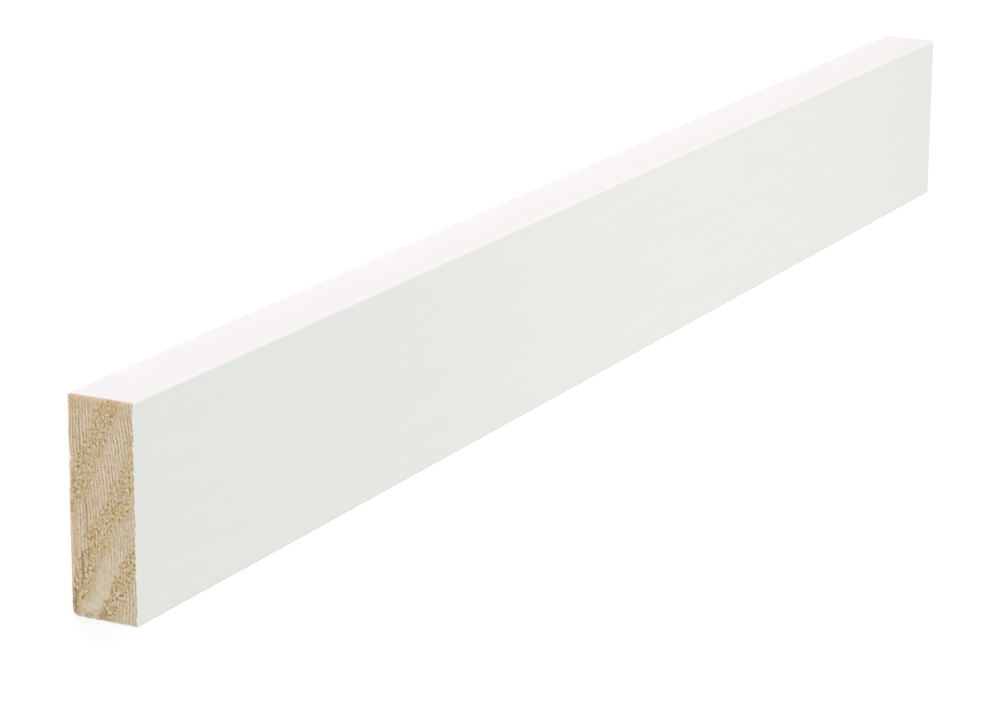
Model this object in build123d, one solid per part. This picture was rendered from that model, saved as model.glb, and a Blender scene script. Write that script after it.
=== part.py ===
from build123d import *
import os

# A flat moulding: one planed strip of pine, painted white and sawn to length, lying on its back.
# X runs along the strip, Y across its wide face, and Z up through its thickness.
# The origin is the middle of the back, which is the side that is fixed to the wall.
# All sizes are in millimetres.

length = 420.0  # between the two sawn ends
width = 45.0  # across the wide face
thickness = 15.0  # from the back to the wide face
face_arris_radius = 0.5  # of the two long arrises beside the wide face
back_arris_radius = 0.6  # of the two long arrises beside the back


def planed_section():
    """The section that the planer leaves, standing on its back: flat sides and four rounded arrises."""
    with BuildSketch(Plane.YZ) as section:
        Rectangle(width, thickness, align=(Align.CENTER, Align.MIN))
        fillet(section.vertices().group_by(Axis.Y)[-1], face_arris_radius)
        fillet(section.vertices().group_by(Axis.Y)[0], back_arris_radius)
    return section.sketch


def sawn_strip():
    """The section run out along the strip, to a square saw cut at each end."""
    return extrude(planed_section(), amount=length / 2, both=True)


os.makedirs("parts", exist_ok=True)
export_step(sawn_strip(), "parts/flat_moulding.step")
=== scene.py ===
import math

import bpy
import numpy as np
from mathutils import Matrix, Vector


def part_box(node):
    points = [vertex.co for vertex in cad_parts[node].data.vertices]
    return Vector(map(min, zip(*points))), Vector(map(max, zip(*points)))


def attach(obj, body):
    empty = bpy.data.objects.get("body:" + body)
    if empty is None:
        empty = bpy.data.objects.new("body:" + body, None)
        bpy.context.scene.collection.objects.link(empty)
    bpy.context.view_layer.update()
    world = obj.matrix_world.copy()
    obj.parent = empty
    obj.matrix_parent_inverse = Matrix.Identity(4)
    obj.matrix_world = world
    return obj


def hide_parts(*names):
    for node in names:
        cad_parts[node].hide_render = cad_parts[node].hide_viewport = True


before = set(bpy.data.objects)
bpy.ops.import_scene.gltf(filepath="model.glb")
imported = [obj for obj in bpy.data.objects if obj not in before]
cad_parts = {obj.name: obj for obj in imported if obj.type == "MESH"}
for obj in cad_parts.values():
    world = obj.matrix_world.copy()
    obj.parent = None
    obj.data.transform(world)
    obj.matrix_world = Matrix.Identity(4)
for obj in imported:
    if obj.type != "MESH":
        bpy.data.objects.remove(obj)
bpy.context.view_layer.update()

# The looks of a flat moulding: a painted strip of pine with two sawn ends.
# X runs along the strip, Y across its wide face and Z out of it, from the middle of the back.
# Sizes are in millimetres, unless a comment says metres, and become metres where mesh and nodes are made.

MM = 0.001
LOW, HIGH = (np.array(corner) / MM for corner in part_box("flat_moulding"))
LENGTH, WIDTH, THICKNESS = HIGH - LOW
FACE_ARRIS = 0.5  # radius of the arrises beside the wide face
BACK_ARRIS = 0.6  # radius of the arrises beside the back

# The mesh: an even grid over each sawn end, and rings of points along the strip, closer near the ends.
CELL = 0.14
END_STATIONS = (0.12, 0.3, 0.6, 1.1, 2.0, 3.5, 6.0)  # from each end
STATION_PITCH = 25.0  # over the rest
BARE_BACK_TO = 0.35 * BACK_ARRIS  # how high up its arrises the bare back reaches

# The seeds of all that is random.
NEAR_END_SEED = 13113
FAR_END_SEED = 23
LONG_FACES_SEED = 5

# The tree's growth rings run along the strip, about a pith that lies outside it.
PITH_Y = 168.9
PITH_Z = -336.9
RING_RADIUS = 383.6  # from the pith to the middle of the section
# Soft early wood of each ring, past RING_RADIUS: where it starts, is full, fades and ends.
EARLY_WOOD = (
    (-9.8, -8.9, -5.6, -4.1),
    (-0.7, 0.2, 3.3, 4.9),
    (8.0, 8.9, 11.0, 12.4),
    (16.3, 17.2, 18.8, 20.2),
)
# Late wood whose saw marks are worn away, in the same four places, and where along Y that begins and is full.
WORN_BAND = (3.2, 4.7, 8.4, 9.9)
WORN_FROM_Y = -3.5
WORN_FULL_Y = -14.5
# Where the rings of the end in front bend: middle along Y and Z, reach, and their move toward the pith.
RING_BENDS = (
    (2.2, 11.4, 3.0, -0.65),
    (-4.8, 5.8, 3.0, 1.05),
    (-15.0, 2.4, 2.6, -0.55),
    (-22.2, 8.0, 2.4, -0.65),
    (12.5, 5.6, 2.4, -0.20),
    (0.0, 0.8, 2.6, 1.0),
    (-12.5, 6.8, 3.0, 0.70),
    (-9.5, 11.8, 2.6, 0.65),
)

# The saw blade's marks are arcs about a centre on the back's side.
BLADE_RADIUS = 145.0
BLADE_Y = -7.2
SAW_PITCH = 0.74
SAW_DEPTH = 0.024  # of one mark to either side
TORN_GRAIN = 0.50  # size of a torn clump of early wood
TORN_DEPTH = 0.13
NAP_DEPTH = 0.008  # of the finest roughness, all over a sawn end
# Deeper scores of single teeth: how far past BLADE_RADIUS, middle along Y, half the length, and strength.
SCORES = (
    (3.8, -1.8, 4.6, 1.00),
    (2.6, -12.7, 3.9, 1.30),
    (1.2, -19.2, 2.7, 1.15),
    (1.5, 4.6, 2.6, 0.70),
    (4.1, -9.2, 1.8, 0.90),
)
SCORE_WIDTH = 0.27
SCORE_DEPTH = 0.09
# The larger pits and resin canals of the end in front: middle along Y and Z, radius, and how deep each is.
PITS = (
    (17.4, 5.9, 0.22, 0.9),
    (16.6, 9.2, 0.24, 1.0),
    (13.8, 1.3, 0.20, 0.7),
    (13.1, 3.8, 0.24, 1.0),
    (10.5, 2.2, 0.22, 0.9),
    (10.9, 3.4, 0.26, 1.1),
    (10.2, 3.3, 0.24, 0.9),
    (3.9, 2.9, 0.26, 1.2),
    (3.4, 1.5, 0.22, 0.8),
    (0.1, 8.2, 0.22, 0.9),
    (-0.2, 9.9, 0.24, 1.0),
    (-1.5, 9.3, 0.20, 0.8),
    (-4.6, 6.4, 0.30, 1.2),
    (-4.8, 7.8, 0.24, 1.0),
    (-5.8, 3.3, 0.26, 1.1),
    (-8.6, 3.4, 0.22, 0.9),
    (-10.5, 12.5, 0.30, 1.2),
    (-11.6, 4.3, 0.26, 1.0),
    (-13.0, 9.2, 0.18, 0.5),
    (-17.6, 10.2, 0.24, 0.9),
    (-18.3, 2.4, 0.26, 0.8),
    (-20.0, 7.3, 0.30, 1.4),
)
PIT_DEPTH = 0.10
# Spots where that end is stained: middle along Y and Z, reach along Y and Z, and strength.
GOLDEN_STAINS = (
    (20.3, 0.9, 1.1, 0.55, 1.9),
    (21.0, 3.5, 1.4, 2.6, 0.30),
    (20.8, 8.5, 1.6, 2.8, 0.40),
    (21.3, 10.8, 1.0, 1.2, 0.40),
    (0.0, 0.4, 1.3, 0.5, 0.55),
    (-14.3, 11.2, 1.0, 1.2, 0.5),
)
GREY_STAINS = (
    (-21.7, 7.0, 1.2, 1.2, 1.0),
    (-22.2, 4.5, 1.0, 4.8, 0.5),
    (-21.9, 0.4, 0.9, 0.6, 0.6),
    (0.0, 0.4, 1.3, 0.45, 0.4),
    (-22.3, 10.0, 0.6, 1.5, 0.4),
    (12.5, 2.6, 2.2, 0.4, 0.5),
    (17.0, 2.8, 5.0, 2.6, 0.14),
)
PAINT_FILM = 0.30  # width of the rim of paint that shows on a sawn end
# The paint that has crept onto the back: where it begins and where it covers, from the middle line.
BACK_PAINT_FROM = 21.45
BACK_PAINT_FULL = 21.65

# The broken outline of both ends: how deep it is rounded, and how far fibres stand out of it.
OUTLINE_DEPTH = 0.05
FIBRE_LENGTH = 0.12

# The notch in the back edge of the end in front. It deepens gently down to NOTCH_Y and ends there in a step.
NOTCH_Y = 9.4
NOTCH_DEPTH = 0.42
NOTCH_RUN = 2.6  # along Y, above NOTCH_Y
NOTCH_STEP = 0.45  # along Y, below it
# That edge's slight wear toward the top, and its uneven places: middle along Y, reach, and how much more.
BACK_WEAR = 0.20
BACK_WEAR_FROM_Y = 1.5
BACK_WEAR_FULL_Y = 5.5
UNEVEN_WEAR = ((18.6, 2.4, 0.12), (14.6, 1.2, -0.12))
WEAR_ALONG = 2.5  # how far along the strip the notch and the wear die out
WEAR_DEEP = 1.6  # and how far through its thickness
# The lower back corner of that end, rubbed rounder.
RUB_DEPTH = 0.30
RUB_ALONG = 4.0
RUB_REACH = 1.8

# The floor, in metres and strengths of light.
FLOOR_REACH = 6.0
FLOOR_GLOW = 0.73  # its own light where the camera or a reflection sees it
FLOOR_SHADE = 0.31  # how much of the lamps' light it gives back there

# The light's own tint, and the world's strength.
STUDIO_TINT = (0.965, 1.0, 0.979)
WORLD_STRENGTH = 0.57

# The camera: its place and aim in metres, its roll in degrees, its lens and sensor in millimetres.
CAMERA_PLACE = (-0.7509, 0.2139, 0.3737)
CAMERA_AIM = (-0.0602, -0.0072, 0.0150)
CAMERA_ROLL = 0.344
CAMERA_LENS = 128.71
SENSOR_WIDTH = 36.0


def colour(red, green, blue):
    """A colour as the eye reads it, 0 to 255, in the shader's linear values."""
    linear = []
    for part in (red / 255, green / 255, blue / 255):
        linear.append(part / 12.92 if part < 0.04045 else ((part + 0.055) / 1.055) ** 2.4)
    return (*linear, 1.0)


PAINT = colour(235, 236, 232)
PAINT_MOTTLE = colour(232, 233, 228)
PAINT_STREAK = colour(239, 239, 235)

LATE_WOOD_CUT = colour(221, 206, 182)
WORN_WOOD_CUT = colour(231, 221, 200)
EARLY_WOOD_CUT = colour(215, 198, 161)
FUZZY_WOOD_CUT = colour(216, 194, 168)
ROSY_PATCH = colour(218, 186, 168)
STRAW_PATCH = colour(204, 190, 140)
GOLDEN_PATCH = colour(205, 175, 116)
# Painted highlight, in a warm tone, along the top and back edges of a sawn end.
EDGE_HIGHLIGHT = colour(246, 214, 178)
# Painted shade in the saw marks' grooves and painted highlight on their ridges.
SAW_GROOVE_SHADE = colour(152, 130, 100)
SAW_RIDGE_HIGHLIGHT = colour(244, 233, 210)
# Painted shade in the end's hollows and pits, and painted highlight on its ridges and raised fibres.
FINE_HOLLOW_SHADE = colour(140, 112, 74)
FIBRE_HIGHLIGHT = colour(246, 228, 188)
HOLLOW_SHADE = colour(126, 97, 48)
# Painted shade in the tooth scores.
SCORE_SHADE = colour(146, 118, 70)
GOLDEN_STAIN = colour(208, 160, 96)
GREY_STAIN = colour(158, 140, 98)

LATE_WOOD_PLANED = colour(211, 174, 124)
EARLY_WOOD_PLANED = colour(232, 211, 172)
FIBRE_PLANED = colour(190, 150, 102)
PALE_PATCH_PLANED = colour(240, 222, 188)
RESIN_CANAL = colour(158, 112, 66)

FLOOR_TONE = colour(243, 243, 243)


def ease(value):
    """Turns 0 to 1 into a curve that starts and ends level."""
    value = np.clip(value, 0.0, 1.0)
    return value * value * (3.0 - 2.0 * value)


def band(value, starts, full, fades, ends):
    """1 from full to fades, with soft slopes down to 0 at starts and at ends."""
    return ease((value - starts) / (full - starts)) * ease((ends - value) / (ends - fades))


def hump(distance, reach, power=2):
    """1 at no distance, falling smoothly to almost 0 at twice the reach."""
    return np.exp(-((distance / reach) ** power))


def soft_noise(rng, u, v, size_u, size_v=None):
    """Smooth random values from -1 to 1, whose humps are about size_u by size_v."""
    size_v = size_v or size_u
    grid_u, grid_v = u / size_u, v / size_v
    cell_u, cell_v = np.floor(grid_u).astype(int), np.floor(grid_v).astype(int)
    first_u, first_v = cell_u.min(), cell_v.min()
    table = rng.uniform(-1.0, 1.0, (cell_u.max() - first_u + 2, cell_v.max() - first_v + 2))
    part_u, part_v = ease(grid_u - cell_u), ease(grid_v - cell_v)
    row, column = cell_u - first_u, cell_v - first_v
    near = table[row, column] * (1 - part_u) + table[row + 1, column] * part_u
    far = table[row, column + 1] * (1 - part_u) + table[row + 1, column + 1] * part_u
    return near * (1 - part_v) + far * part_v


def clumps(rng, u, v, size):
    """Scattered clumps about size wide: how deep a point is in its own, 0 to 1, and that clump's value."""
    grid_u, grid_v = u / size, v / size
    cell_u, cell_v = np.floor(grid_u).astype(int), np.floor(grid_v).astype(int)
    first_u, first_v = cell_u.min() - 1, cell_v.min() - 1
    shape = (cell_u.max() - first_u + 2, cell_v.max() - first_v + 2)
    middle_u, middle_v = rng.random(shape), rng.random(shape)
    values = rng.uniform(-1.0, 1.0, shape)
    nearest = np.full(u.shape, np.inf)
    own = np.zeros(u.shape)
    for step_u in (-1, 0, 1):
        for step_v in (-1, 0, 1):
            row, column = cell_u + step_u - first_u, cell_v + step_v - first_v
            away_u = grid_u - (cell_u + step_u + middle_u[row, column])
            away_v = grid_v - (cell_v + step_v + middle_v[row, column])
            distance = np.hypot(away_u, away_v)
            closer = distance < nearest
            nearest = np.where(closer, distance, nearest)
            own = np.where(closer, values[row, column], own)
    return ease(1.25 - 1.5 * nearest), own


def blurred(field, reach):
    """The mean of a grid's values over a square of 2 * reach + 1 points."""
    width = 2 * reach + 1
    for axis in (0, 1):
        pad = [(0, 0), (0, 0)]
        pad[axis] = (reach + 1, reach)
        total = np.cumsum(np.pad(field, pad, mode="edge"), axis=axis)
        last = np.take(total, range(width, total.shape[axis]), axis)
        before_first = np.take(total, range(total.shape[axis] - width), axis)
        field = (last - before_first) / width
    return field


def place_in_rings(y, z, wander):
    """How far points of the section lie past RING_RADIUS, where the rings have moved in by wander."""
    return np.hypot(z - PITH_Z, y - PITH_Y) - RING_RADIUS + wander


def early_wood(past, spread=0.0):
    """How much of the wood is soft early wood, 0 to 1, where its bands end further out by spread."""
    rows = [(starts, full, fades + spread, ends + spread) for starts, full, fades, ends in EARLY_WOOD]
    return np.max([band(past, *row) for row in rows], axis=0)


def section_grid():
    """Points over the section: an even grid whose corners are drawn in to the rounded arrises."""
    rows = np.linspace(-WIDTH / 2, WIDTH / 2, round(WIDTH / CELL) + 1)
    columns = np.linspace(0.0, THICKNESS, round(THICKNESS / CELL) + 1)
    y, z = np.meshgrid(rows, columns, indexing="ij")
    for side in (-1, 1):
        for level, inward, radius in ((0.0, 1, BACK_ARRIS), (THICKNESS, -1, FACE_ARRIS)):
            middle_y, middle_z = side * (WIDTH / 2 - radius), level + inward * radius
            u, v = (y - middle_y) * side / radius, (middle_z - z) * inward / radius
            corner = (u > 0) & (v > 0)
            reach = np.maximum(u, v)[corner] / np.hypot(u, v)[corner]
            y[corner] = middle_y + side * radius * u[corner] * reach
            z[corner] = middle_z - inward * radius * v[corner] * reach
    return y, z


def once_round(shape):
    """The numbers of a grid's outer points in order, anticlockwise where Y is to the right and Z up."""
    number = np.arange(shape[0] * shape[1]).reshape(shape)
    return np.concatenate([number[:-1, 0], number[-1, :-1], number[:0:-1, -1], number[0, :0:-1]])


def ring_wander(rng, y, z, bends):
    """How far the rings leave their circles: the named bends, and a little at random."""
    wander = 0.30 * soft_noise(rng, y, z, 2.4)
    for middle_y, middle_z, reach, amount in bends:
        wander = wander + amount * hump(y - middle_y, reach) * hump(z - middle_z, reach)
    return wander


def saw_marks(rng, y, z, from_blade, fuzzy, worn):
    """The blade's marks, ridges above 0 and grooves below: uneven, broken, faint in fuzzy or worn wood."""
    upright = -0.13 * np.clip(y - 11.0, 0.0, None) * (1.0 - ease((z - 4.0) / 4.0))
    shaken = from_blade + upright + 0.30 * soft_noise(rng, y, z, 7.0)
    shaken = shaken + 0.10 * soft_noise(rng, y, z, 2.2) + 0.09 * soft_noise(rng, y, z, 0.6)
    mark = 1.0 - 2.0 * (0.5 + 0.5 * np.sin(2 * math.pi * shaken / SAW_PITCH)) ** 1.9
    tooth = soft_noise(rng, from_blade, y, 0.8 * SAW_PITCH, 8.0)
    broken = soft_noise(rng, from_blade, y, 0.40, 1.3)
    strength = 0.78 + 0.35 * soft_noise(rng, y, z, 3.5) + 0.40 * tooth + 0.85 * broken
    strength = strength + 0.20 * ease((y - 8.0) / 5.0)
    return 0.85 * mark * (1.0 - 0.74 * worn) * np.clip(strength, 0.0, 1.6) * (1.0 - 0.75 * fuzzy)


def ragged_grain(rng, y, z, from_blade):
    """The relief of torn wood, about -1 to 1: pits, curls and lifted fibres of uneven size."""
    bent_y = y + 0.26 * soft_noise(rng, y, z, 0.8)
    bent_z = z + 0.26 * soft_noise(rng, y, z, 0.8)
    coarse_depth, coarse_value = clumps(rng, bent_y * 0.8, bent_z, TORN_GRAIN)
    fine_depth, fine_value = clumps(rng, bent_y, bent_z, 0.60 * TORN_GRAIN)
    from_curl = np.abs(soft_noise(rng, bent_y * 0.8, bent_z, 1.1 * TORN_GRAIN))
    curl = np.clip(1.0 - 3.4 * from_curl, -1.0, 1.0)
    strokes = soft_noise(rng, from_blade, y, 0.28, 0.9)
    ragged = 0.36 * coarse_depth * coarse_value + 0.44 * fine_depth * fine_value - 0.16 * curl
    return ragged + 0.18 * strokes + 0.28 * soft_noise(rng, y, z, 0.3)


def tooth_scores(rng, y, z, from_blade):
    """The deeper scores of single teeth, each up to its own strength."""
    shaken = from_blade + 0.06 * soft_noise(rng, y, z, 1.1)
    scored = np.zeros(y.shape)
    for offset, middle_y, reach, strength in SCORES:
        across = hump(shaken - offset, SCORE_WIDTH)
        along = hump(y - middle_y, reach, power=4) * (0.80 + 0.4 * soft_noise(rng, y, z, 0.7))
        scored = np.maximum(scored, strength * across * along)
    return scored


def rim_masks(rng, y, z, to_painted):
    """Masks along an end's outline: the film of paint, paint dust, and a painted highlight in a warm tone
    along the top and back edges.
    """
    film_width = PAINT_FILM * (1.0 - 0.6 * ease(y - 21.0)) * (1.0 + 0.7 * soft_noise(rng, y, z, 0.5))
    film = 1.0 - ease(to_painted / np.maximum(film_width, 0.02) - 0.3)
    dust = 1.0 - ease(to_painted / (1.0 + 0.5 * soft_noise(rng, y, z, 0.9)))
    # Painted highlight: light caught by the fibres along the top edge, and light glowing through them along
    # the back edge.
    top_edge_highlight = 1.0 - ease((WIDTH / 2 - y) / (1.15 + 0.60 * soft_noise(rng, y, z, 0.9)))
    back_edge_highlight = 1.0 - ease(z / (0.90 + 0.40 * soft_noise(rng, y, z, 1.1)))
    back_edge_highlight = back_edge_highlight * ease((y + 18.5) / 5.0)
    return {"film": film * ease(z / 0.35), "dust": dust, "edge_highlight": np.maximum(top_edge_highlight, back_edge_highlight)}


def stained(y, z, spots, blotchy):
    """How strongly spots stain the end, 0 to 1, in uneven blotches."""
    mask = np.zeros(y.shape)
    for middle_y, middle_z, reach_y, reach_z, strength in spots:
        spot = hump(y - middle_y, reach_y) * hump(z - middle_z, reach_z)
        mask = np.maximum(mask, np.clip(strength * spot * blotchy, 0.0, 1.0))
    return mask


def sawn_end(y, z, seed, bends, pits, golden, grey):
    """What the saw left on one end: its relief outward, and the masks that its material uses."""
    rng = np.random.default_rng(seed)
    past = place_in_rings(y, z, ring_wander(rng, y, z, bends))
    fray = np.random.default_rng(seed + 1)
    frayed = past + 0.42 * soft_noise(fray, y, z, 0.9) + 0.24 * soft_noise(fray, y, z, 0.45)
    patchy = 0.25 * soft_noise(rng, y, z, 0.9) + 0.20 * soft_noise(rng, y, z, 2.0)
    torn = np.clip(1.3 * (early_wood(frayed) + patchy - 0.02), 0.0, 1.0)
    fuzzy = np.clip(early_wood(frayed, 1.0) + 0.5 * patchy, 0.0, 1.0)
    worn = ease((WORN_FROM_Y - y) / (WORN_FROM_Y - WORN_FULL_Y)) * band(past, *WORN_BAND)
    worn = worn * ease((z - 0.5) / 2.0)

    from_blade = np.hypot(z + BLADE_RADIUS, y - BLADE_Y) - BLADE_RADIUS
    saw = saw_marks(rng, y, z, from_blade, fuzzy, worn)
    ragged = ragged_grain(rng, y, z, from_blade)
    # The torn wood is rougher in some places than in others, and the late wood is a little rough too.
    rough = torn * (0.92 + 0.24 * ease((-11.0 - y) / 6.0) + 0.18 * soft_noise(rng, y, z, 1.9))
    rough = np.maximum(rough, 0.38 * (1.0 - 0.62 * worn))
    nap = soft_noise(rng, y, z, 0.28)
    relief = SAW_DEPTH * saw + TORN_DEPTH * rough * (ragged - 0.25) + NAP_DEPTH * nap
    for middle_y, middle_z, radius, depth in pits:
        relief = relief - PIT_DEPTH * depth * hump(y - middle_y, radius) * hump(z - middle_z, radius)
    # Relief minus its blur: by this the material paints shade in the hollows and highlights on the ridges.
    relief_shade = (relief - blurred(relief, 4)) / (0.55 * TORN_DEPTH)
    scored = tooth_scores(rng, y, z, from_blade)
    relief = relief - SCORE_DEPTH * scored

    to_painted = np.minimum(THICKNESS - z, WIDTH / 2 - np.abs(y))
    masks = rim_masks(rng, y, z, to_painted)
    blotchy = 0.9 + 0.7 * soft_noise(rng, y, z, 0.8)
    masks["torn"] = torn
    masks["saw"] = saw
    masks["relief_shade"] = np.clip(relief_shade, -1.0, 1.0)
    masks["worn"] = worn * (1.0 - fuzzy)
    masks["fuzzy"] = fuzzy * (1.0 - torn)
    masks["scored"] = np.clip(scored, 0.0, 1.0)
    masks["golden"] = stained(y, z, golden, blotchy)
    masks["grey"] = stained(y, z, grey, blotchy)

    # The cut's own outline is slightly broken, with a few fibres left standing on it.
    to_outline = np.minimum(to_painted, z)
    fibres = np.clip(soft_noise(rng, y, z, 0.45) * 1.6 - 0.5, 0.0, 1.0)
    relief = relief - OUTLINE_DEPTH * (1.0 - ease(to_outline / 0.25))
    relief = relief + FIBRE_LENGTH * fibres * (1.0 - ease(to_outline / 0.5))
    return relief, masks


def long_faces(rim, stations):
    """Points round the strip at each station, with the planer's slight waves, and the early wood at each."""
    rng = np.random.default_rng(LONG_FACES_SEED)
    before, after = np.roll(rim, 1, 0), np.roll(rim, -1, 0)
    along = after - before
    outward = np.stack([along[:, 1], -along[:, 0]], -1)
    outward /= np.linalg.norm(outward, axis=1, keepdims=True)
    round_rim = np.cumsum(np.hypot(*(rim - before).T))
    x, way_round = np.meshgrid(stations, round_rim, indexing="ij")
    wave = 0.012 * soft_noise(rng, x, way_round, 70.0, 9.0)
    wave = wave + 0.004 * soft_noise(rng, x, way_round, 55.0, 0.7)
    wave = wave * ease((LENGTH / 2 - np.abs(x)) / 2.0)
    y = rim[:, 0] + wave * outward[:, 0]
    z = rim[:, 1] + wave * outward[:, 1]
    # The rings drift as one along the strip, and a little more each by itself.
    drift = 1.3 * soft_noise(rng, x, way_round * 0.0, 90.0, 1.0)
    drift = drift + 0.3 * soft_noise(rng, x, way_round, 40.0, 6.0)
    return np.stack([x, y, z], -1).reshape(-1, 3), early_wood(place_in_rings(y, z, drift)).ravel()


def back_edge_wear(y):
    """How far the back edge of the end in front lies inside its straight line, along Y."""
    wear = BACK_WEAR * ease((y - BACK_WEAR_FROM_Y) / (BACK_WEAR_FULL_Y - BACK_WEAR_FROM_Y))
    for middle, reach, amount in UNEVEN_WEAR:
        wear = wear + amount * hump(y - middle, reach)
    above = (1.0 - np.clip((y - NOTCH_Y) / NOTCH_RUN, 0.0, 1.0)) ** 3
    step = ease((y - NOTCH_Y + NOTCH_STEP) / NOTCH_STEP)
    return wear + NOTCH_DEPTH * np.where(y > NOTCH_Y, above, step)


def wear_near_end(points):
    """Wears the back edge of the end in front and rubs its lower back corner, by moving points."""
    from_end = points[:, 0] + LENGTH / 2
    reach = ease(1.0 - from_end / WEAR_ALONG) * ease(1.0 - points[:, 2] / WEAR_DEEP)
    points[:, 2] += back_edge_wear(points[:, 1]) * reach
    to_corner = np.hypot(points[:, 1] + WIDTH / 2, points[:, 2])
    rubbed = RUB_DEPTH * ease(1.0 - from_end / RUB_ALONG) * ease(1.0 - to_corner / RUB_REACH)
    points[:, 1:] += rubbed[:, None]


def stations_along():
    """Where the rings of points stand along the strip."""
    half = LENGTH / 2
    middle_count = round((LENGTH - 2 * END_STATIONS[-1]) / STATION_PITCH)
    middle = np.linspace(-half + END_STATIONS[-1], half - END_STATIONS[-1], middle_count + 1)
    near = [-half + offset for offset in END_STATIONS[:-1]]
    far = [half - offset for offset in reversed(END_STATIONS[:-1])]
    return np.array([*near, *middle, *far])


def quads_over_grid(shape):
    """The corners of the quads between a grid's points."""
    number = np.arange(shape[0] * shape[1]).reshape(shape)
    corners = [number[:-1, :-1], number[:-1, 1:], number[1:, 1:], number[1:, :-1]]
    return np.stack(corners, -1).reshape(-1, 4)


def build_strip():
    """The whole strip as one closed mesh, with the masks of its ends and of its growth rings."""
    y, z = section_grid()
    outer = once_round(y.shape)
    rim = np.stack([y.ravel()[outer], z.ravel()[outer]], -1)
    stations = stations_along()

    near, near_masks = sawn_end(y, z, NEAR_END_SEED, RING_BENDS, PITS, GOLDEN_STAINS, GREY_STAINS)
    far, far_masks = sawn_end(y, z, FAR_END_SEED, (), (), (), ())
    parts = []
    for side, relief in ((-1, near), (1, far)):
        x = side * (LENGTH / 2 + relief)
        parts.append(np.stack([x, y, z], -1).reshape(-1, 3))
    side_points, side_early_wood = long_faces(rim, stations)
    points = np.concatenate([*parts, side_points])
    wear_near_end(points)

    # Quads: the two ends, then bands between one ring of points and the next.
    end_quads = quads_over_grid(y.shape)
    rings = [outer]
    for k in range(len(stations)):
        rings.append(2 * y.size + k * len(outer) + np.arange(len(outer)))
    rings.append(outer + y.size)
    bands = []
    for first, second in zip(rings[:-1], rings[1:]):
        bands.append(np.stack([first, second, np.roll(second, -1), np.roll(first, -1)], -1))
    faces = np.concatenate([end_quads, end_quads[:, ::-1] + y.size, *bands])

    mesh = bpy.data.meshes.new("flat_moulding_looks")
    mesh.from_pydata((points * MM).tolist(), [], faces.tolist())
    mesh.validate()
    for name, near_mask in near_masks.items():
        on_sides = side_early_wood if name == "torn" else np.zeros(len(side_points))
        add_mask(mesh, name, np.concatenate([near_mask.ravel(), far_masks[name].ravel(), on_sides]))

    # Materials by face: 0 paint, 1 sawn end, 2 bare back.
    band_height = (rim[:, 1] + np.roll(rim[:, 1], -1)) / 2
    round_strip = np.where(band_height < BARE_BACK_TO, 2, 0)
    index = np.concatenate([np.ones(2 * len(end_quads), int), np.tile(round_strip, len(bands))])
    mesh.polygons.foreach_set("material_index", index.astype(np.int32))
    mesh.polygons.foreach_set("use_smooth", np.ones(len(faces), bool))
    mark_cut_edges(mesh, (outer, outer + y.size))
    mesh.update()
    return mesh


def add_mask(mesh, name, values):
    """Keeps a value of each vertex for the materials."""
    mesh.attributes.new(name, "FLOAT", "POINT").data.foreach_set("value", values.astype(np.float32))


def mark_cut_edges(mesh, loops):
    """Keeps the cuts' outlines crisp, where smooth shading would otherwise run round them."""
    ends = np.empty(len(mesh.edges) * 2, np.int32)
    mesh.edges.foreach_get("vertices", ends)
    ends = ends.reshape(-1, 2)
    sharp = np.zeros(len(ends), bool)
    for loop in loops:
        on_loop = np.zeros(len(mesh.vertices), bool)
        on_loop[loop] = True
        sharp |= on_loop[ends].all(1)
    mesh.attributes.new("sharp_edge", "BOOLEAN", "EDGE").data.foreach_set("value", sharp)


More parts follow.
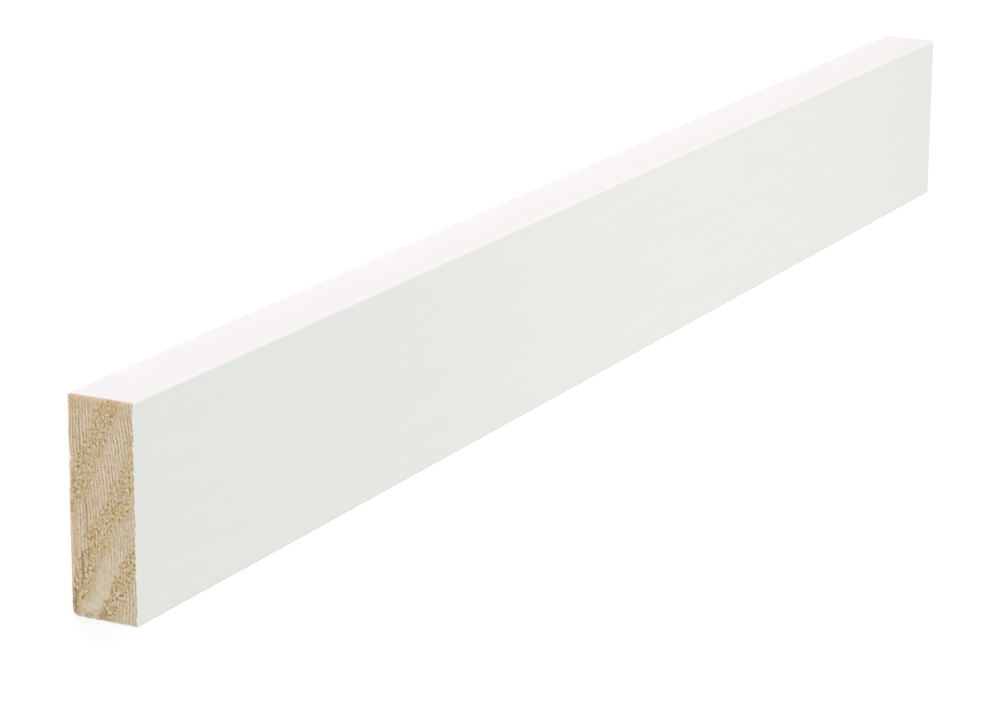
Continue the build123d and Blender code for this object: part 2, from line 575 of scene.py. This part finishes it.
class Shader:
    """A material's nodes, written as calls."""

    def __init__(self, name):
        self.material = bpy.data.materials.new(name)
        self.material.use_nodes = True
        self.nodes = self.material.node_tree.nodes
        self.links = self.material.node_tree.links
        self.main = next(n for n in self.nodes if n.type == "BSDF_PRINCIPLED")

    def put(self, value, socket):
        """Sets a socket to a number or colour, or links another node's output to it."""
        if isinstance(value, bpy.types.NodeSocket):
            self.links.new(value, socket)
        else:
            socket.default_value = value

    def node(self, kind, inputs=(), **settings):
        """A new node with its settings, and its inputs by name or number."""
        made = self.nodes.new(kind)
        for name, value in settings.items():
            setattr(made, name, value)
        for name, value in dict(inputs).items():
            self.put(value, made.inputs[name])
        return made

    def mask(self, name):
        """One of the values that the mesh keeps for each vertex."""
        return self.node("ShaderNodeAttribute", attribute_name=name).outputs["Fac"]

    def place(self, stretch=(1.0, 1.0, 1.0)):
        """The object's own coordinates in millimetres, each divided by its stretch."""
        coordinates = self.node("ShaderNodeTexCoord").outputs["Object"]
        scale = [1.0 / (MM * part) for part in stretch]
        return self.node("ShaderNodeMapping", {"Vector": coordinates, "Scale": scale}).outputs["Vector"]

    def noise(self, where, size, detail=2.0, roughness=0.5):
        """Noise from 0 to 1 whose humps are about size millimetres."""
        inputs = {"Vector": where, "Scale": 1.0 / size, "Detail": detail, "Roughness": roughness}
        return self.node("ShaderNodeTexNoise", inputs).outputs["Fac"]

    def calculate(self, operation, *values):
        """The result of one of the Math node's operations."""
        return self.node("ShaderNodeMath", dict(enumerate(values)), operation=operation).outputs[0]

    def ramp(self, value, low, high, to_low=0.0, to_high=1.0):
        """A value's range from low to high, turned into to_low to to_high and held there beyond it."""
        inputs = {"Value": value, "From Min": low, "From Max": high, "To Min": to_low, "To Max": to_high}
        return self.node("ShaderNodeMapRange", inputs).outputs["Result"]

    def mix(self, factor, first, second):
        """The first colour at factor 0, the second at factor 1."""
        made = self.node("ShaderNodeMix", data_type="RGBA")
        self.put(factor, made.inputs[0])
        self.put(first, made.inputs[6])
        self.put(second, made.inputs[7])
        return made.outputs[2]

    def tint(self, under, tone, value, low, high, at_low, at_high):
        """Lays a tone over what is under it, by at_low where value is low and by at_high where it is high."""
        return self.mix(self.ramp(value, low, high, at_low, at_high), under, tone)

    def bump(self, height, depth, strength=1.0, normal=None):
        """Bump of a height from 0 to 1, depth in millimetres."""
        made = self.node("ShaderNodeBump", {"Height": height, "Distance": depth * MM, "Strength": strength})
        if normal is not None:
            self.put(normal, made.inputs["Normal"])
        return made.outputs["Normal"]

    def finish(self, **sockets):
        """Fills the main shader's sockets, and gives back the material."""
        for name, value in sockets.items():
            self.put(value, self.main.inputs[name.replace("_", " ").title()])
        return self.material


def paint_tone(shader):
    """The paint's colour, with the faintest mottling."""
    mottle = shader.noise(shader.place((14.0, 1.0, 1.0)), 2.2, 3.0)
    streaks = shader.noise(shader.place((60.0, 1.0, 1.0)), 0.5, 2.0)
    tone = shader.tint(PAINT, PAINT_MOTTLE, mottle, 0.35, 0.65, 0.0, 0.3)
    return shader.tint(tone, PAINT_STREAK, streaks, 0.4, 0.7, 0.0, 0.12)


def white_paint():
    """Satin factory paint: the grain shows through it very faintly, over a fine orange peel."""
    shader = Shader("white_paint")
    peel = shader.noise(shader.place(), 0.9, 2.0)
    streaks = shader.noise(shader.place((45.0, 1.0, 1.0)), 0.6, 3.0)
    sheen = shader.noise(shader.place((8.0, 1.0, 1.0)), 3.0, 3.0)
    normal = shader.bump(peel, 0.012, 0.35)
    normal = shader.bump(streaks, 0.012, 0.35, normal)
    dullness = shader.ramp(sheen, 0.3, 0.7, 0.36, 0.46)
    return shader.finish(base_color=paint_tone(shader), roughness=dullness, normal=normal)


def sawn_wood():
    """The end grain: saw marks on the late wood, torn early wood, stains, the rim of the paint film, and
    painted shade and highlights that follow the relief and the edges.
    """
    shader = Shader("sawn_end")
    torn, worn, saw = shader.mask("torn"), shader.mask("worn"), shader.mask("saw")
    relief_shade, edge_highlight = shader.mask("relief_shade"), shader.mask("edge_highlight")
    fine = shader.noise(shader.place(), 0.26, 2.0, 0.6)
    # Patches of other tones: the stretch of each differs slightly, so that no two share a pattern.
    rosy = shader.noise(shader.place(), 2.6, 3.0, 0.6)
    straw = shader.noise(shader.place((1.0, 1.0, 0.98)), 2.1, 3.0, 0.6)
    gilt = shader.noise(shader.place((1.0, 1.02, 1.0)), 1.6, 1.0)
    unworn = shader.ramp(worn, 0.0, 1.0, 1.0, 0.1)
    flushed = shader.calculate("MULTIPLY", shader.ramp(rosy, 0.45, 0.65, 0.0, 0.70), unworn)
    gilded = shader.calculate("MULTIPLY", shader.ramp(gilt, 0.50, 0.68, 0.0, 0.80), torn)

    wood = shader.mix(worn, LATE_WOOD_CUT, WORN_WOOD_CUT)
    wood = shader.mix(torn, wood, EARLY_WOOD_CUT)
    wood = shader.tint(wood, FUZZY_WOOD_CUT, shader.mask("fuzzy"), 0.0, 1.0, 0.0, 0.6)
    wood = shader.mix(flushed, wood, ROSY_PATCH)
    wood = shader.tint(wood, STRAW_PATCH, straw, 0.48, 0.66, 0.0, 0.55)
    wood = shader.mix(gilded, wood, GOLDEN_PATCH)
    # The painted highlight along the top and back edges is laid on here, and again over the marks below.
    wood = shader.tint(wood, EDGE_HIGHLIGHT, edge_highlight, 0.0, 1.0, 0.0, 0.45)
    wood = shader.tint(wood, PAINT, shader.mask("dust"), 0.0, 1.0, 0.0, 0.30)
    # Painted shade in the saw marks' grooves and painted highlight on their ridges, following their relief.
    wood = shader.tint(wood, SAW_GROOVE_SHADE, saw, -1.5, 0.5, 0.55, 0.0)
    wood = shader.tint(wood, SAW_RIDGE_HIGHLIGHT, saw, 0.0, 1.5, 0.0, 0.50)
    # The fine noise also bumps the surface: painted shade where it is low, and painted highlight on the
    # raised fibres where it is high.
    wood = shader.tint(wood, FINE_HOLLOW_SHADE, fine, 0.30, 0.65, 0.26, 0.0)
    wood = shader.tint(wood, FIBRE_HIGHLIGHT, fine, 0.50, 0.75, 0.0, 0.26)
    # Painted shade in the hollows and painted highlight on the ridges, from the relief.
    wood = shader.tint(wood, HOLLOW_SHADE, relief_shade, -0.1, -1.0, 0.0, 0.84)
    wood = shader.tint(wood, FIBRE_HIGHLIGHT, relief_shade, 0.15, 1.0, 0.0, 0.70)
    # Painted shade along the grooves of the tooth scores.
    wood = shader.tint(wood, SCORE_SHADE, shader.mask("scored"), 0.1, 1.0, 0.0, 0.80)
    wood = shader.tint(wood, EDGE_HIGHLIGHT, edge_highlight, 0.0, 1.0, 0.0, 0.48)
    wood = shader.tint(wood, GOLDEN_STAIN, shader.mask("golden"), 0.0, 1.0, 0.0, 0.65)
    wood = shader.tint(wood, GREY_STAIN, shader.mask("grey"), 0.0, 1.0, 0.0, 0.85)
    painted = shader.ramp(shader.mask("film"), 0.45, 0.60)
    tone = shader.mix(painted, wood, PAINT)

    dullness = shader.ramp(painted, 0.0, 1.0, 0.85, 0.5)
    return shader.finish(base_color=tone, roughness=dullness, normal=shader.bump(fine, 0.05, 0.6))


def planed_wood():
    """The bare back: growth rings, fine fibres, the planer's ripples, and some paint at its edges."""
    shader = Shader("planed_back")
    fibres = shader.noise(shader.place((90.0, 1.0, 1.0)), 0.25, 3.0, 0.6)
    broad = shader.noise(shader.place((40.0, 1.0, 1.0)), 1.6, 3.0)
    canals = shader.noise(shader.place((16.0, 1.0, 1.0)), 0.4, 1.0)
    wood = shader.mix(shader.mask("torn"), LATE_WOOD_PLANED, EARLY_WOOD_PLANED)
    wood = shader.tint(wood, FIBRE_PLANED, fibres, 0.35, 0.75, 0.0, 0.45)
    wood = shader.tint(wood, PALE_PATCH_PLANED, broad, 0.4, 0.7, 0.0, 0.35)
    wood = shader.tint(wood, RESIN_CANAL, canals, 0.68, 0.74, 0.0, 0.55)

    # The paint has crept a little way round both arrises.
    across = shader.node("ShaderNodeSeparateXYZ", {"Vector": shader.place()}).outputs["Y"]
    ragged = shader.noise(shader.place((3.0, 1.0, 1.0)), 1.5, 4.0, 0.65)
    crept = shader.ramp(ragged, 0.3, 0.7, -0.6, 0.6)
    reached = shader.calculate("ADD", shader.calculate("ABSOLUTE", across), crept)
    wood = shader.mix(shader.ramp(reached, BACK_PAINT_FROM, BACK_PAINT_FULL), wood, PAINT)

    # The ripples run across the strip, so only X counts for them.
    only_x = shader.place((1.0, 1e6, 1e6))
    ripple = shader.node("ShaderNodeTexWave", {"Vector": only_x, "Scale": 0.1, "Distortion": 0.4})
    normal = shader.bump(ripple.outputs["Fac"], 0.006, 0.5)
    normal = shader.bump(fibres, 0.03, 0.6, normal)
    return shader.finish(base_color=wood, roughness=shader.ramp(fibres, 0.3, 0.7, 0.62, 0.75), normal=normal)


def floor_paper():
    """Pale paper. The camera and reflections see it as white, and there it keeps the strip's soft shadow."""
    paper = Shader("paper")
    paper.finish(base_color=FLOOR_TONE, roughness=0.9)
    glow = paper.node("ShaderNodeEmission", {"Color": (1.0, 1.0, 1.0, 1.0), "Strength": FLOOR_GLOW})
    shaded = paper.node("ShaderNodeBsdfDiffuse", {"Color": (FLOOR_SHADE, FLOOR_SHADE, FLOOR_SHADE, 1.0)})
    seen = paper.node("ShaderNodeAddShader", {0: glow.outputs[0], 1: shaded.outputs[0]})
    rays = paper.node("ShaderNodeLightPath").outputs
    direct = paper.calculate("MAXIMUM", rays["Is Camera Ray"], rays["Is Glossy Ray"])
    direct = paper.calculate("MAXIMUM", direct, rays["Is Transmission Ray"])
    either = paper.node("ShaderNodeMixShader", {0: direct, 1: paper.main.outputs[0], 2: seen.outputs[0]})
    output = next(n for n in paper.nodes if n.type == "OUTPUT_MATERIAL")
    paper.put(either.outputs[0], output.inputs["Surface"])
    return paper.material


def build_floor():
    """A wide pale floor."""
    mesh = bpy.data.meshes.new("floor")
    corners = [(x * FLOOR_REACH, y * FLOOR_REACH, 0.0) for x, y in ((-1, -1), (1, -1), (1, 1), (-1, 1))]
    mesh.from_pydata(corners, [], [(0, 1, 2, 3)])
    mesh.materials.append(floor_paper())
    floor = bpy.data.objects.new("floor", mesh)
    bpy.context.scene.collection.objects.link(floor)


def add_light(name, kind, power, tint, place, aim, **shape):
    """A lamp, in metres, that shines from its place toward its aim and isn't seen itself."""
    light = bpy.data.lights.new(name, kind)
    light.energy = power
    light.color = tint
    for setting, value in shape.items():
        setattr(light, setting, value)
    lamp = bpy.data.objects.new(name, light)
    lamp.location = place
    lamp.rotation_euler = (Vector(place) - Vector(aim)).to_track_quat("Z", "Y").to_euler()
    lamp.visible_camera = False
    bpy.context.scene.collection.objects.link(lamp)


def light_studio():
    """Soft light: most from all round and above, some from the upper edge's side, some on the far half."""
    world = bpy.data.worlds.new("studio")
    world.use_nodes = True
    background = world.node_tree.nodes["Background"]
    background.inputs["Color"].default_value = (*STUDIO_TINT, 1.0)
    background.inputs["Strength"].default_value = WORLD_STRENGTH
    bpy.context.scene.world = world
    add_light(
        "high_light", "SUN", power=0.42 * math.pi, tint=STUDIO_TINT,
        place=(-0.40, 0.42, 0.82), aim=(0.0, 0.0, 0.0), angle=math.radians(45.0),
    )
    # A round lamp close enough that its light falls off along the strip.
    add_light(
        "side_light", "POINT", power=22.2, tint=(1.0, 0.62, 0.92),
        place=(-0.616, 1.378, 0.181), aim=(0.0, 0.0, 0.0), shadow_soft_size=0.308,
    )
    # A pool of light on the wide face, which fades out softly toward the end in front.
    add_light(
        "far_light", "SPOT", power=9.63, tint=(0.909, 0.698, 0.726),
        place=(0.0855, 0.0, 1.2), aim=(0.0855, 0.0, 0.0),
        spot_size=math.radians(30.0), spot_blend=1.0, shadow_soft_size=0.15,
    )


def set_camera():
    """The photograph's view: the strip stands on its lower edge there, so the camera lies on its side."""
    place, aim = Vector(CAMERA_PLACE), Vector(CAMERA_AIM)
    roll = math.radians(CAMERA_ROLL)
    forward = (aim - place).normalized()
    level_right = forward.cross(Vector((0.0, 1.0, 0.0))).normalized()
    level_up = level_right.cross(forward)
    right = level_right * math.cos(roll) + level_up * math.sin(roll)
    up = level_up * math.cos(roll) - level_right * math.sin(roll)
    camera = bpy.data.cameras.new("camera")
    camera.sensor_fit = "HORIZONTAL"
    camera.sensor_width = SENSOR_WIDTH
    camera.lens = CAMERA_LENS
    holder = bpy.data.objects.new("camera", camera)
    turn = Matrix((right, up, -forward)).transposed().to_4x4()
    holder.matrix_world = Matrix.Translation(place) @ turn
    bpy.context.scene.collection.objects.link(holder)
    bpy.context.scene.camera = holder


strip = bpy.data.objects.new("painted_strip", build_strip())
bpy.context.scene.collection.objects.link(strip)
for material in (white_paint(), sawn_wood(), planed_wood()):
    strip.data.materials.append(material)
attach(strip, "root")
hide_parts("flat_moulding")

build_floor()
light_studio()
set_camera()
bpy.context.scene.view_settings.view_transform = "Standard"
